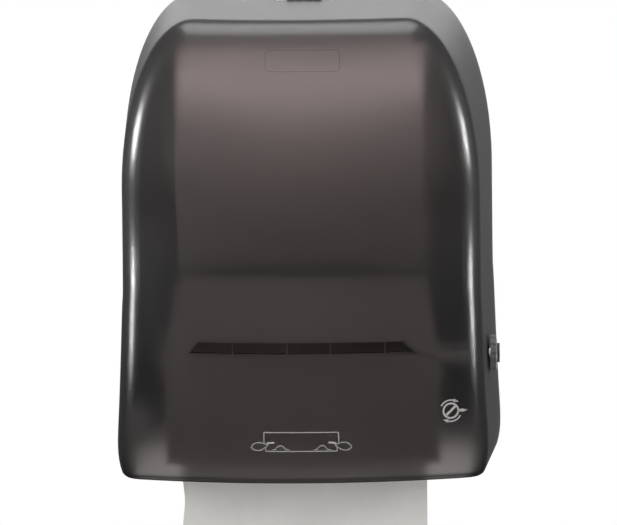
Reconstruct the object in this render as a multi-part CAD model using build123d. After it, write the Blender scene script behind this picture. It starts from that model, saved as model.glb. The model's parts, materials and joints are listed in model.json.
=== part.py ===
from build123d import *
from math import acos, asin, atan2, cos, degrees, radians, sin, sqrt
import os

# Hands-free roll towel dispenser for a wall. Millimetres, +Z up, +X to the right of the
# person who stands in front, -Y out of the wall. The wall is the plane y = 0, and the
# origin is the centre of the four wall screws.

# Towel roll
towel_width = 203.0
roll_radius = 98.0
core_radius = 21.0
core_wall = 1.5
roll_to_wall = 20.0
sheet_thickness = 0.4
tail_below_hem = 80.0

# Feed drum and the rollers beside it
drum_radius = 48.5
drum_wall = 3.0
drum_end_room = 2.5
drum_above_hem = 94.0
drum_forward = 112.0
roll_to_drum = 13.5
shaft_radius = 5.0
pinch_radius = 9.0
pinch_shaft_radius = 3.0
pinch_angle = 45.0
pinch_travel = 2.0

# Knife in the drum
knife_angle = 240.0
knife_travel = 6.0
knife_hidden = 1.2
blade_thickness = 1.0
blade_depth = 14.0
tooth_pitch = 6.0
tooth_height = 3.0

# Cover, a one-piece hood that is open at the back and at the bottom
hem_z = -200.0
headroom = 35.0
front_room = 28.0
side_room = 53.0
cover_wall = 2.5
lower_flare = 4.7
side_swell = 0.7
hem_inset = 4.4
hem_round = 8.0
side_taper = 10.0
top_drop = 10.0
shoulder_width = 60.0
shoulder_height = 142.0
bow_radius = 300.0
front_corner = 28.0
rear_edge_gap = 1.0
waist_depth = 9.6
hem_tuck = 8.5

# Louvre pocket in the cover's front
pocket_above_drum = 13.4
pocket_height = 11.3
pocket_depth = 12.0
pocket_margin = 10.5
pocket_slope = 9.5
pocket_rib = 1.2
pocket_rib_shares = (-0.604, -0.114, 0.273, 0.762)

# Cover hinge and latch
pivot_forward = 16.0
pivot_above_hem = 14.0
ear_radius = 14.0
boss_radius = 9.0
boss_length = 6.5
hinge_pin_radius = 3.0
latch_half_width = 24.4
latch_front = 62.0
latch_travel = 5.0
pad_gap = 0.5
grip_half_width = 14.5
grip_pitch = 7.25
grip_height = 1.4

# Wall plate and mechanism module
plate_thickness = 3.0
rim_gap = 1.5
rim_width = 2.2
rim_height = 11.0
wall_hole_radius = 2.75
wall_hole_spacing_x = 170.0
wall_hole_spacing_z = 260.0
wall_boss_radius = 8.0
frame_thickness = 3.0
frame_room = 2.5
frame_front = 178.0
frame_top = -46.0
frame_bottom = -190.0
flange_width = 15.0
screw_radius = 1.9
screw_head_radius = 3.8
screw_head_height = 2.2
panel_overhang = 5.5
panel_draw_in = 5.0
panel_forward = 208.0
panel_wall = 2.5
panel_top = -34.0
panel_bottom = -190.0

# Roll arms
arm_room = 3.0
arm_thickness = 7.0
arm_tip_radius = 24.0
arm_root_height = 86.0
hub_length = 12.0
hub_tip_radius = 15.0

# Side knob
knob_radius = 15.0
knob_height = 7.2
knob_gap = 0.6
knob_boss_radius = 9.0
knob_boss_length = 3.5
stem_radius = 4.0
clip_radius = 7.0
clip_thickness = 1.2

# Coupling between the drum's shaft and the knob, which swings away with the cover
coupling_radius = 9.0
coupling_length = 9.0
key_half_width = 1.5
key_depth = 4.0
key_root = 1.0

# Clearances
running = 0.05
seat_gap = 0.3
touch = 0.0

# Places worked out from the values above, as (y, z) in side view
drum_z = hem_z + drum_above_hem
roll_z = drum_z + drum_radius + roll_to_drum + roll_radius
roll_forward = roll_to_wall + roll_radius
drum_axis = (-drum_forward, drum_z)
roll_axis = (-roll_forward, roll_z)
pivot = (-pivot_forward, hem_z + pivot_above_hem)
cover_top = roll_z + roll_radius + headroom
cover_depth = roll_forward + roll_radius + front_room
half_width_upper = towel_width / 2 + side_room
half_width_lower = half_width_upper + lower_flare
half_width_hem = half_width_lower - hem_inset
bow_axis_y = bow_radius - cover_depth
pocket_ledge_z = drum_z + pocket_above_drum
pocket_low_half = towel_width / 2 - pocket_margin
pocket_high_half = pocket_low_half - pocket_slope
drum_length = towel_width - 2 * drum_end_room
frame_inside = drum_length / 2 + drum_end_room + frame_room
frame_outside = frame_inside + frame_thickness
panel_half_width = frame_outside + panel_overhang
panel_top_half_width = frame_outside - panel_draw_in
arm_inside = towel_width / 2 + arm_room
trim = 20.0
far = 500.0


def polar(centre, radius, angle):
    """A point at radius from centre, its angle counted from straight up towards the wall."""
    return (centre[0] + radius * sin(radians(angle)), centre[1] + radius * cos(radians(angle)))


def along_x(profile, x_low, x_high):
    """Carry a profile drawn in (y, z) from x_low to x_high."""
    return extrude(Plane.YZ.offset(x_low) * profile, amount=x_high - x_low)


def disc(centre, radius, x_low, x_high):
    """A round piece along X."""
    return along_x(Pos(*centre) * Circle(radius), x_low, x_high)


def ring(centre, outer, inner, x_low, x_high):
    """A tube along X."""
    return along_x(Pos(*centre) * (Circle(outer) - Circle(inner)), x_low, x_high)


def polygon(*points):
    """A closed straight-sided outline."""
    return make_face(Polyline(*points, close=True))


def block(x_range, y_range, z_range):
    """A box between two values on each axis."""
    size = [high - low for low, high in (x_range, y_range, z_range)]
    middle = [(high + low) / 2 for low, high in (x_range, y_range, z_range)]
    return Pos(*middle) * Box(*size)


def other_side(part):
    """The mirror image across the middle plane."""
    return mirror(part, about=Plane.YZ)


# Cover

def hood_section(depth, inset):
    """The hood's outline in the plane that lies depth in front of the wall."""
    share = depth / cover_depth
    narrow = side_taper * share
    top = cover_top - top_drop * share
    upper = half_width_upper - narrow
    flat = upper - shoulder_width
    shoulder_z = top - shoulder_height
    belly_z = hem_z + trim * 2.5
    waist_z = shoulder_z - drum_above_hem
    low = hem_z - trim
    low_x = half_width_hem - hem_inset * 2 - narrow - inset
    side = Spline(
        (low_x, low),
        (half_width_hem - narrow - inset, hem_z),
        (half_width_lower - narrow - inset, belly_z),
        (upper + side_swell - inset, waist_z),
        (upper - inset, shoulder_z),
        tangents=[(0.15, 1), (0, 1)],
    )
    shoulder = EllipticalCenterArc(
        (flat, shoulder_z), shoulder_width - inset, shoulder_height - inset, 0, arc_size=90
    )
    roof = Line((flat, top - inset), (-flat, top - inset))
    floor = Line((-low_x, low), (low_x, low))
    mirrored = [mirror(edge, about=Plane.YZ) for edge in (shoulder, side)]
    return Plane.XZ.offset(depth) * make_face(Curve() + [floor, side, shoulder, roof, *mirrored])


def front_barrel(inset):
    """The bowed front: a side profile with its waist, turned about an upright axis behind it."""
    crease_z = drum_z + roll_radius + 2
    recess = [
        (hem_z - trim, hem_tuck * 2),
        (hem_z, hem_tuck),
        (hem_z + 15, hem_tuck / 2),
        (hem_z + 50, 0.2),
        (hem_z + 75, 0),
        (hem_z + 105, 1.6),
        (crease_z - 54, waist_depth * 0.53),
        (crease_z - 24, waist_depth * 0.91),
        (crease_z, waist_depth),
        (crease_z + 24, waist_depth * 0.8),
        (crease_z + 56, waist_depth * 0.28),
        (roll_z + 36, 0),
        (cover_top - 57, 2.5),
        (cover_top - 22, 8.5),
        (cover_top + 13, 20),
        (cover_top + 28, 27),
    ]
    points = [(inset + depth - cover_depth, z) for z, depth in recess]
    high = points[-1]
    low = points[0]
    face = make_face(Curve() + [
        Spline(*points),
        Line(high, (bow_axis_y, high[1])),
        Line((bow_axis_y, high[1]), (bow_axis_y, low[1])),
        Line((bow_axis_y, low[1]), low),
    ])
    return revolve(Plane.YZ * face, Axis((0, bow_axis_y, 0), (0, 0, 1)), 360)


def hood(inset):
    """The hood as a solid, inset from its outer skin."""
    sections = [hood_section(0, inset), hood_section(cover_depth + trim, inset)]
    body = loft(sections) & front_barrel(inset)
    half_depth = cover_depth * 0.6
    front_edges = [
        edge for edge in body.edges()
        if edge.center().Y < -half_depth and edge.bounding_box().max.Z > hem_z - trim + 1
    ]
    return fillet(front_edges, front_corner - inset)


def bowed(profile):
    """A profile in (y, z) turned about the bow axis, so that it follows the bowed front."""
    return revolve(Plane.YZ * profile, Axis((0, bow_axis_y, 0), (0, 0, 1)), 360)


def trapezoid(grow):
    """The louvre pocket's outline from the front, carried through the front wall."""
    slope = (pocket_low_half - pocket_high_half) / pocket_height
    rise = pocket_height + grow * 3
    low = pocket_low_half + grow
    face = polygon(
        (-low, pocket_ledge_z - grow), (low, pocket_ledge_z - grow),
        (low - slope * rise, pocket_ledge_z - grow + rise + grow),
        (-low + slope * rise, pocket_ledge_z - grow + rise + grow),
    )
    return extrude(Plane.XZ.offset(cover_depth * 0.75) * face, amount=cover_depth * 0.3)


def pocket_wedge(front_y, grow):
    """The wedge between the sloping pocket wall and its ledge."""
    slope = pocket_height / pocket_depth
    reach = -cover_depth + pocket_depth
    return bowed(polygon(
        (front_y, pocket_ledge_z - grow),
        (reach + grow, pocket_ledge_z - grow),
        (reach + grow, pocket_ledge_z + grow / 2),
        (front_y, pocket_ledge_z + (reach - front_y) * slope + grow * 1.5),
    ) if grow else polygon(
        (front_y, pocket_ledge_z),
        (reach, pocket_ledge_z),
        (front_y, pocket_ledge_z + (reach - front_y) * slope),
    ))


def knob_skin_x():
    """How far out the hood's skin is under the middle of the knob."""
    return (disc(drum_axis, stem_radius, 0, far) & outer_hood).bounding_box().max.X


def roof_z(forward, inset=0.0):
    """Height of the flat middle of the hood's roof."""
    return cover_top - top_drop * forward / cover_depth - inset


def roof_slab(half_width, rear, front, below, above):
    """A slab in the roof, between two depths, from below its skin to above it."""
    side = polygon(
        (-rear, roof_z(rear) - below), (-rear, roof_z(rear) + above),
        (-front, roof_z(front) + above), (-front, roof_z(front) - below),
    )
    return along_x(side, -half_width, half_width)


def hem_edges(body, height):
    """Edges round the bottom of the hood at this height, all but the rear one."""
    low = body.edges().filter_by_position(Axis.Z, height - 0.01, height + 0.01)
    return [edge for edge in low if edge.bounding_box().min.Y < -rear_edge_gap * 2]


def make_cover():
    below_hem = block((-far, far), (-far, far), (hem_z - trim * 2, hem_z))
    behind_rear = block((-far, far), (-rear_edge_gap, trim), (-far, far))
    outer = outer_hood - below_hem - behind_rear
    outer = fillet(hem_edges(outer, hem_z), hem_round)
    inner = hood(cover_wall) - block((-far, far), (-far, far), (hem_z - trim * 2, hem_z + cover_wall))
    inner = fillet(hem_edges(inner, hem_z + cover_wall), hem_round - cover_wall)
    mouth = hood(hem_round) - block((-far, far), (-far, far), (hem_z + cover_wall + 1, far))
    shell = outer - inner - mouth
    shell += pocket_wedge(-cover_depth - 3, cover_wall) & trapezoid(cover_wall) & outer
    opening = pocket_wedge(-cover_depth - 3, 0) & trapezoid(0)
    shell -= opening
    ribs = pocket_wedge(-cover_depth + 3, 0) & trapezoid(0)
    for share in pocket_rib_shares:
        place = share * pocket_low_half
        gusset = ribs & block((place - pocket_rib / 2, place + pocket_rib / 2), (-far, 0), (-far, far))
        shell += gusset
    # hinge ears with a boss inside each
    boss = disc(pivot, boss_radius, half_width_hem - cover_wall - boss_length, half_width_lower) & outer
    bore = disc(pivot, hinge_pin_radius + running, 0, half_width_hem - cover_wall + 0.2)
    shell += boss + other_side(boss)
    shell -= bore + other_side(bore)
    corner = polygon(pivot, (pivot[0] + trim * 2, pivot[1]),
                     (pivot[0] + trim * 2, pivot[1] - trim * 2), (pivot[0], pivot[1] - trim * 2))
    corner -= Pos(*pivot) * Circle(ear_radius)
    shell -= along_x(corner, -far, far)
    # boss and bore that the knob's stem turns in
    shell += disc(drum_axis, knob_boss_radius, knob_boss_face(), knob_skin_x()) & outer
    shell -= disc(drum_axis, stem_radius + running, 0, far)
    # opening for the latch slide, with a rail before and behind it under the roof
    shell -= roof_slab(latch_half_width, latch_rear, latch_front, trim, trim)
    for rail_y, ledge_side in ((latch_rear - rail_gap, 1), (latch_front + rail_gap, -1)):
        near, out = sorted((rail_y, rail_y - ledge_side * rail_width))
        rail = roof_slab(latch_half_width + 6, near, out, rail_drop, -cover_wall / 2)
        near, out = sorted((rail_y - ledge_side * rail_width, rail_y + ledge_side * rail_gap * 2))
        rail += roof_slab(latch_half_width + 6, near, out, rail_drop, -rail_drop + ledge_thickness)
        shell += rail - strike_passage()
    return shell


latch_flange = 1.6
latch_rear = 24.0
rail_gap = 3.6
rail_width = 2.0
ledge_thickness = 1.2
rail_drop = cover_wall + seat_gap * 2 + latch_flange + ledge_thickness
strike_low_x = 4.0
strike_width = 8.0
strike_reach = 32.0
strike_thickness = 1.5
tooth_width = 10.0
tooth_depth = 4.0


def strike_arm_z():
    """Height of the strike's arm, high enough for the cover's swing over the roll."""
    reach = sqrt((roll_axis[0] - pivot[0]) ** 2 + (roll_axis[1] - pivot[1]) ** 2) + roll_radius
    return pivot[1] + reach + 1.2 - strike_thickness


def strike_passage():
    """Space through the rear rail for the strike when the cover swings."""
    low = strike_low_x - tooth_width - 4
    return block((low, strike_low_x + strike_width + 4), (-latch_rear - trim / 2, 0), (-far, far))


def knob_boss_face():
    """X of the inner face of the boss that the stem turns in."""
    return knob_skin_x() - cover_wall - knob_boss_length


def make_latch_slide():
    """The slide in the roof: ribbed thumb pad, flange under the roof and the tooth that locks."""
    low = -latch_half_width + pad_gap
    high = latch_half_width - pad_gap - latch_travel
    pad = roof_slab(far, latch_rear + pad_gap, latch_front - pad_gap, cover_wall + seat_gap * 2, 0)
    pad &= block((low, high), (-far, far), (-far, far))
    under = cover_wall + seat_gap
    flange = roof_slab(far, latch_rear - rail_gap + seat_gap, latch_front + rail_gap - seat_gap,
                       under + latch_flange, -under)
    flange &= block((low - 5, high + 5), (-far, far), (-far, far))
    start = latch_rear + 8
    base_z = roof_z(latch_front)
    half_waves = round(4 * grip_half_width / grip_pitch)
    crest = [
        (-grip_half_width + number * grip_pitch / 2, base_z + (2 if number % 2 else 1) * grip_height)
        for number in range(half_waves + 1)
    ]
    profile = make_face(Curve() + [
        Spline(*crest),
        Polyline(crest[-1], (grip_half_width, base_z - 1), (-grip_half_width, base_z - 1), crest[0]),
    ])
    grip = extrude(Plane.XZ.offset(start) * profile, amount=latch_front - pad_gap - start)
    front = strike_reach - strike_thickness - 0.4
    tooth = block((strike_low_x - tooth_width - 2, strike_low_x - 2), (-front, -front + tooth_depth),
                  (strike_arm_z() + strike_thickness + 0.6, roof_z(front, under + 0.5)))
    return pad + grip + flange + tooth


def make_latch_strike():
    """Bent steel strike on the wall plate: an arm that ends in an upturned lip."""
    z = strike_arm_z()
    x = (strike_low_x, strike_low_x + strike_width)
    arm = block(x, (-strike_reach, -plate_thickness), (z, z + strike_thickness))
    lip = block(x, (-strike_reach, -strike_reach + strike_thickness), (z, z + 5))
    foot = block(x, (-plate_thickness - strike_thickness, -plate_thickness), (z - 18, z + strike_thickness))
    return arm + lip + foot


# Wall plate

def wall_holes():
    return [
        (x * wall_hole_spacing_x / 2, z * wall_hole_spacing_z / 2) for x in (-1, 1) for z in (-1, 1)
    ]


def plate_outline(inset):
    face = hood_section(0, cover_wall + rim_gap + inset)
    return face


def make_back_plate():
    bottom = block((-far, far), (-far, far), (-far, hem_z + 4))
    plate = extrude(plate_outline(0), amount=plate_thickness) - bottom
    rim = extrude(plate_outline(0), amount=plate_thickness + rim_height)
    rim -= extrude(plate_outline(rim_width), amount=plate_thickness + rim_height)
    rim -= block((-far, far), (-far, far), (-far, pivot[1] + trim))
    plate += rim
    # raised stiffening beads behind the roll
    for x in (-50, 0, 50):
        plate += block((x - 4, x + 4), (-plate_thickness - 4, -plate_thickness), (roll_z - 70, roll_z + 90))
    for x, z in wall_holes():
        boss = Plane.XZ.offset(plate_thickness) * Pos(x, z) * Circle(wall_boss_radius)
        plate += extrude(boss, amount=3)
    # lugs that hold the hinge pins, the plate narrowed beside them where the hem sweeps past
    lug_low = half_width_hem - cover_wall - boss_length - 0.5 - 7
    sweep = block((lug_low + 7, far), (-far, far), (-far, pivot[1] + trim))
    plate -= sweep + other_side(sweep)
    lug_face = Pos(*pivot) * Circle(ear_radius - 5) + polygon(
        (pivot[0], pivot[1] + ear_radius - 5), (-plate_thickness / 2, pivot[1] + ear_radius + 4),
        (-plate_thickness / 2, pivot[1] - ear_radius + 5), (pivot[0], pivot[1] - ear_radius + 5),
    )
    lug = along_x(lug_face, lug_low, lug_low + 7) - disc(pivot, hinge_pin_radius, 0, far)
    plate += lug + other_side(lug)
    # knuckles for the left roll arm's pin
    for z in arm_knuckles():
        plate += knuckle(z)
    for x, z in wall_holes():
        hole = Plane.XZ * Pos(x, z) * Circle(wall_hole_radius)
        plate -= extrude(hole, amount=trim)
    for x, z in frame_screw_places() + arm_screw_places():
        hole = Plane.XZ * Pos(x, z) * Circle(screw_radius)
        plate -= extrude(hole, amount=trim)
    return plate


def arm_knuckles():
    """Heights of the two plate knuckles that hold the left arm's pin."""
    return (roll_z - arm_root_height / 2 - 5, roll_z + arm_root_height / 2 + 5)


arm_pin = (-(arm_inside + arm_thickness / 2), -14.0)
arm_pin_radius = 2.5
knuckle_radius = 6.0


def knuckle(z):
    eye = Pos(arm_pin[0], arm_pin[1], z) * Cylinder(knuckle_radius, 8)
    web = block((arm_pin[0] - 4, arm_pin[0] + 4), (arm_pin[1], -plate_thickness / 2), (z - 4, z + 4))
    return eye + web - Pos(arm_pin[0], arm_pin[1], z) * Cylinder(arm_pin_radius, 8)


def make_hinge_pins():
    low = half_width_hem - cover_wall - boss_length - 0.5 - 9
    pin = disc(pivot, hinge_pin_radius, low, half_width_hem - cover_wall - 0.3)
    return pin + other_side(pin)


# Mechanism frames

def frame_screw_places():
    x = frame_outside + flange_width - 6
    heights = (frame_bottom + 24, frame_top - 22)
    return [(side * x, z) for side in (-1, 1) for z in heights]


def pinch_axis():
    gap = sheet_thickness + 2 * seat_gap
    return polar(drum_axis, drum_radius + gap + pinch_radius, pinch_angle)


def tilted_slot(width, low, high):
    """A slot in the frame, square to the drum's skin, along the pinch roller's travel."""
    face = Pos((low + high) / 2, 0) * Rectangle(high - low, width)
    return Pos(*pinch_axis()) * Rot(0, 0, 90 - pinch_angle) * face


block_half = 6.0
slot_rear = 16.0


def make_side_frame():
    outline = polygon(
        (-plate_thickness, frame_bottom), (-plate_thickness, frame_top),
        (-frame_front, frame_top), (-frame_front, frame_bottom),
    )
    corners = outline.vertices().sort_by(Axis.X)[:2]
    outline = fillet(corners, 28)
    frame = along_x(outline, frame_inside, frame_outside)
    frame -= disc(drum_axis, bush_radius, 0, far)
    frame -= along_x(tilted_slot(2 * block_half - 2, -block_half - seat_gap, slot_rear), 0, far)
    flange = block((frame_outside, frame_outside + flange_width), (-plate_thickness - 3, -plate_thickness),
                   (frame_bottom, frame_top))
    for x, z in frame_screw_places():
        flange -= extrude(Plane.XZ * Pos(x, z) * Circle(screw_radius), amount=trim)
    return frame + flange


bush_radius = 8.0
bush_flange_radius = 11.0


def make_bearing():
    sleeve = ring(drum_axis, bush_radius, shaft_radius + running, frame_inside, frame_outside + 1.5)
    collar = ring(drum_axis, bush_flange_radius, shaft_radius + running, frame_outside, frame_outside + 2)
    return sleeve + collar


cam_outer = 38.0
cam_inner = 12.0


def make_cam():
    """Fixed cam: a disc on the frame with an oval track cut in its face."""
    low = frame_inside - 3.6
    body = ring(drum_axis, cam_outer, cam_inner, low, frame_inside)
    lobe = polar(drum_axis, knife_travel / 2, knife_angle + 30)
    track = Pos(*lobe) * (Circle(follower_orbit + 4) - Circle(follower_orbit - 4))
    return body - along_x(track, low, low + 2)


follower_orbit = 25.0
follower_radius = 3.4


def make_front_panel():
    """The module's own front: a bowed panel with drawn-in shoulders and side returns."""
    radius = bow_radius - (cover_depth - panel_forward)
    lean = [(panel_bottom - 1, 5), (panel_bottom + 30, 1), (panel_bottom + 90, 0), (panel_top - 24, 4),
            (panel_top + 1, 9)]

    def skin(inset):
        points = [(bow_axis_y - radius + recess + inset, z) for z, recess in lean]
        return make_face(Curve() + [
            Spline(*points),
            Line(points[-1], (bow_axis_y, points[-1][1])),
            Line((bow_axis_y, points[-1][1]), (bow_axis_y, points[0][1])),
            Line((bow_axis_y, points[0][1]), points[0]),
        ])
    wall = bowed(skin(0)) - bowed(skin(panel_wall))
    shoulder = (panel_half_width, panel_bottom + 90)
    face = polygon(
        (-panel_half_width, panel_bottom), (panel_half_width, panel_bottom), shoulder,
        (panel_top_half_width, panel_top), (-panel_top_half_width, panel_top), (-shoulder[0], shoulder[1]),
    )
    face = fillet(face.vertices().sort_by(Axis.Y)[-2:], 14)
    wall &= extrude(Plane.XZ.offset(cover_depth * 0.4) * face, amount=cover_depth)
    side_y = bow_axis_y - sqrt(radius ** 2 - panel_half_width ** 2)
    side_return = block(
        (frame_outside, panel_half_width), (side_y + 3, -frame_front + 16), (panel_bottom + 12, shoulder[1] - 6)
    )
    for z in panel_screw_heights():
        side_return -= disc((-frame_front + 24 - trim / 2, z), screw_radius, 0, far)
    lip_y = -(panel_forward - 22)
    lip = block((-frame_inside + 2, frame_inside - 2), (lip_y - 40, lip_y), (panel_bottom, panel_bottom + 2.5))
    lip &= bowed(skin(panel_wall / 2))
    return wall + side_return + other_side(side_return) + lip


def panel_screw_heights():
    return (panel_bottom + 28, panel_bottom + 70)


lip_bead = 3.0
lip_forward = 157.0
lip_z = drum_z - 70.0
guide_gap = 10.0
guide_wall = 2.5
guide_exit = 168.0
guide_entry = 78.0


def make_paper_chute():
    """Guide round the back of the drum that runs out to the rounded lip the towel hangs over."""
    inner = drum_radius + guide_gap
    outer = inner + guide_wall
    start = polar(drum_axis, inner, guide_exit)
    start_low = polar(drum_axis, outer, guide_exit)
    entry = polar(drum_axis, inner, guide_entry)
    entry_out = polar(drum_axis, outer, guide_entry)
    middle = (guide_exit + guide_entry) / 2
    lip = (-lip_forward, lip_z)
    face = make_face(Curve() + [
        ThreePointArc(start, polar(drum_axis, inner, middle), entry),
        Line(entry, entry_out),
        ThreePointArc(entry_out, polar(drum_axis, outer, middle), start_low),
        Line(start_low, (lip[0], lip[1] - guide_wall / 2)),
        Line((lip[0], lip[1] - guide_wall / 2), (lip[0], lip[1] + guide_wall / 2)),
        Line((lip[0], lip[1] + guide_wall / 2), start),
    ])
    face += Pos(*lip) * Circle(lip_bead)
    return along_x(face, -frame_inside, frame_inside)


# Feed drum, drawn with its knife straight up and then turned to its rest angle

def turned(part, angle):
    """Turn a piece about the drum's axis, from straight up towards the wall."""
    middle = Pos(0, *drum_axis)
    return middle * Rot(-angle, 0, 0) * middle.inverse() * part


knife_slot = 5.0
end_wall = 4.0
rib_gap = 12.0


def drum_body():
    half = drum_length / 2
    body = disc(drum_axis, drum_radius, -half, half)
    for low, high in ((-half + end_wall, -end_wall / 2), (end_wall / 2, half - end_wall)):
        body -= disc(drum_axis, drum_radius - drum_wall, low, high)
    body += disc(drum_axis, shaft_radius + 4, -half, half)
    return body - disc(drum_axis, shaft_radius, -far, far)


def strip_angles():
    return (60, 120, 240, 300)


def grip_strips(clearance):
    """Rubber strips let into the drum's skin."""
    depth = 1.2
    strips = None
    strip = block((-drum_length / 2 + 8 - clearance, drum_length / 2 - 8 + clearance),
                  (drum_axis[0] - 5 - clearance, drum_axis[0] + 5 + clearance),
                  (drum_axis[1] + drum_radius - depth, drum_axis[1] + drum_radius + 1))
    strip &= disc(drum_axis, drum_radius, -far, far)
    for angle in strip_angles():
        piece = turned(strip, angle)
        strips = piece if strips is None else strips + piece
    return strips


def drum_halves():
    """Two moulded half shells that close round the shaft, the upper one slotted for the knife."""
    body = drum_body() - grip_strips(0)
    slot = block((-far, far), (drum_axis[0] - knife_slot / 2, drum_axis[0] + knife_slot / 2),
                 (drum_axis[1] + shaft_radius + 5, drum_axis[1] + far))
    reach = drum_length / 2 - end_wall - 2
    slot = slot & block((-reach, reach), (-far, far), (-far, far))
    middle_web = block((-end_wall, end_wall), (drum_axis[0] - 7, drum_axis[0] + 7),
                       (drum_axis[1] + 10, drum_axis[1] + drum_radius - 2))
    arm_slot = block((-far, far), (drum_axis[0] - 4, drum_axis[0] + 4),
                     (drum_axis[1] + follower_orbit - 5, drum_axis[1] + follower_orbit + knife_travel + 5))
    body -= slot + arm_slot + middle_web
    upper = body & block((-far, far), (-far, far), (drum_axis[1], far))
    lower = body - block((-far, far), (-far, far), (drum_axis[1], far))
    return turned(upper, knife_angle), turned(lower, knife_angle)


def make_knife_carrier():
    """Bar that carries the blade, with an arm at each end for its cam roller."""
    reach = drum_length / 2 - end_wall - 3
    centre_y, centre_z = drum_axis
    bar = block((-reach, reach), (centre_y - 3, centre_y - blade_thickness / 2),
                (centre_z + follower_orbit - 4, centre_z + follower_orbit + 9))
    bar += block((-reach, reach), (centre_y - 3, centre_y + 3),
                 (centre_z + follower_orbit - 4, centre_z + follower_orbit + 4))
    pin = disc((centre_y, centre_z + follower_orbit), 2.5, -drum_length / 2 + 0.6, drum_length / 2 - 0.6)
    return turned(bar + pin, knife_angle)


def make_knife_blade():
    """Serrated steel strip, its points just below the drum's skin."""
    reach = drum_length / 2 - end_wall - 4
    tip = drum_axis[1] + drum_radius - knife_hidden
    count = int(2 * reach / tooth_pitch)
    points = [(-reach, follower_orbit + drum_axis[1] + 4), (reach, follower_orbit + drum_axis[1] + 4)]
    edge = count * tooth_pitch / 2
    points.append((reach, tip - tooth_height))
    for number in range(count):
        x = edge - number * tooth_pitch
        points.append((x - tooth_pitch / 2, tip))
        points.append((x - tooth_pitch, tip - tooth_height))
    if edge < reach:
        points.append((-reach, tip - tooth_height))
    face = polygon(*points)
    blade = extrude(Plane.XZ.offset(-drum_axis[0] - blade_thickness / 2) * face, amount=blade_thickness)
    return turned(blade, knife_angle)


def make_cam_rollers():
    centre = (drum_axis[0], drum_axis[1] + follower_orbit)
    roller = disc(centre, follower_radius, drum_length / 2 - 0.6, frame_inside - 4.0)
    return turned(roller + other_side(roller), knife_angle)


crank_radius = 20.0
crank_angle = 45.0
crank_inside = frame_outside + 5.0
crank_width = 6.0
crank_pin_radius = 3.0
crank_pin_length = 7.0
shaft_left = crank_inside + crank_width + 2.0


def coupling_face():
    """X of the face where the knob's stem meets the coupling on the drum's shaft."""
    return knob_boss_face() - clip_thickness - key_root - 3 * seat_gap


def key_profile(half_width, radius):
    """A key bent round the hinge axis, so that it slides in and out sideways as the hood swings."""
    swing = sqrt((drum_axis[0] - pivot[0]) ** 2 + (drum_axis[1] - pivot[1]) ** 2)
    band = Pos(*pivot) * (Circle(swing + half_width) - Circle(swing - half_width))
    return band & Pos(*drum_axis) * Circle(radius)


def make_drum_shaft():
    return disc(drum_axis, shaft_radius, -shaft_left, coupling_face() - key_depth - 1)


def make_shaft_coupling():
    """Hub on the end of the drum's shaft, with a slot across it for the stem's key."""
    face = coupling_face()
    hub_part = disc(drum_axis, coupling_radius, face - coupling_length, face)
    hub_part -= disc(drum_axis, shaft_radius, 0, face - key_depth - 1)
    slot = key_profile(key_half_width + seat_gap, coupling_radius + 1)
    return hub_part - along_x(slot, face - key_depth, far)


def make_crank():
    tip = polar(drum_axis, crank_radius, crank_angle)
    outline = Pos(*drum_axis) * Circle(11) + Pos(*tip) * Circle(6)
    side = [polar(drum_axis, 11, crank_angle + 90), polar(tip, 6, crank_angle + 90),
            polar(tip, 6, crank_angle - 90), polar(drum_axis, 11, crank_angle - 90)]
    outline += polygon(*side)
    arm = along_x(outline, -crank_inside - crank_width, -crank_inside)
    return arm - disc(drum_axis, shaft_radius, -far, far) - disc(tip, crank_pin_radius, -far, far)


def make_crank_pin():
    tip = polar(drum_axis, crank_radius, crank_angle)
    outer = -crank_inside - crank_width - crank_pin_length
    return disc(tip, crank_pin_radius, outer, -crank_inside)


spring_radius = 5.5
spring_wire = 1.0
anchor = (-30.0, -24.0)


def spring_plane():
    """X of the drive spring's middle, just outside the end of the crank pin."""
    return -crank_inside - crank_width - crank_pin_length - 0.4 - spring_wire


def make_drive_spring():
    """Extension spring from the crank pin to its anchor: body and the two end loops."""
    tip = polar(drum_axis, crank_radius, crank_angle)
    run = (anchor[0] - tip[0], anchor[1] - tip[1])
    length = sqrt(run[0] ** 2 + run[1] ** 2)
    lean = degrees(atan2(run[1], run[0]))
    eye = spring_radius - spring_wire
    loop = Rot(0, 90, 0) * Torus(eye, spring_wire)
    body = Pos(0, length / 2, 0) * Rot(90, 0, 0) * (
        Cylinder(spring_radius, length - 2 * eye) - Cylinder(spring_radius - 2 * spring_wire, length)
    )
    parts = body + loop + Pos(0, length, 0) * loop
    return Pos(spring_plane(), *tip) * Rot(lean, 0, 0) * parts


def make_spring_anchor():
    """Steel bracket on the wall plate with the post that holds the spring's rear loop."""
    x = spring_plane()
    foot = block((x - 8, x + 10), (-plate_thickness - 2, -plate_thickness), (anchor[1] - 10, anchor[1] + 16))
    arm = block((x + 8, x + 10), (anchor[0] - 5, -plate_thickness), (anchor[1] - 7, anchor[1] + 10))
    post = disc(anchor, spring_radius - 2 * spring_wire - seat_gap * 2, x - 4, x + 10)
    return foot + arm + post


def make_knob_stem():
    """Stem that turns in the hood's boss, with the key at its inner end."""
    face = coupling_face() + seat_gap
    stem = disc(drum_axis, stem_radius, face, knob_skin_x() + knob_gap + stem_seat)
    stem += disc(drum_axis, clip_radius, face, face + key_root)
    return stem + along_x(key_profile(key_half_width, clip_radius), face - key_depth, face)


def make_knob_clip():
    """Ring on the stem, behind the boss, that keeps the knob in the hood."""
    high = knob_boss_face() - seat_gap
    return ring(drum_axis, clip_radius, stem_radius, high - clip_thickness, high)


stem_seat = 3.0
ridge_rise = 1.6


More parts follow.
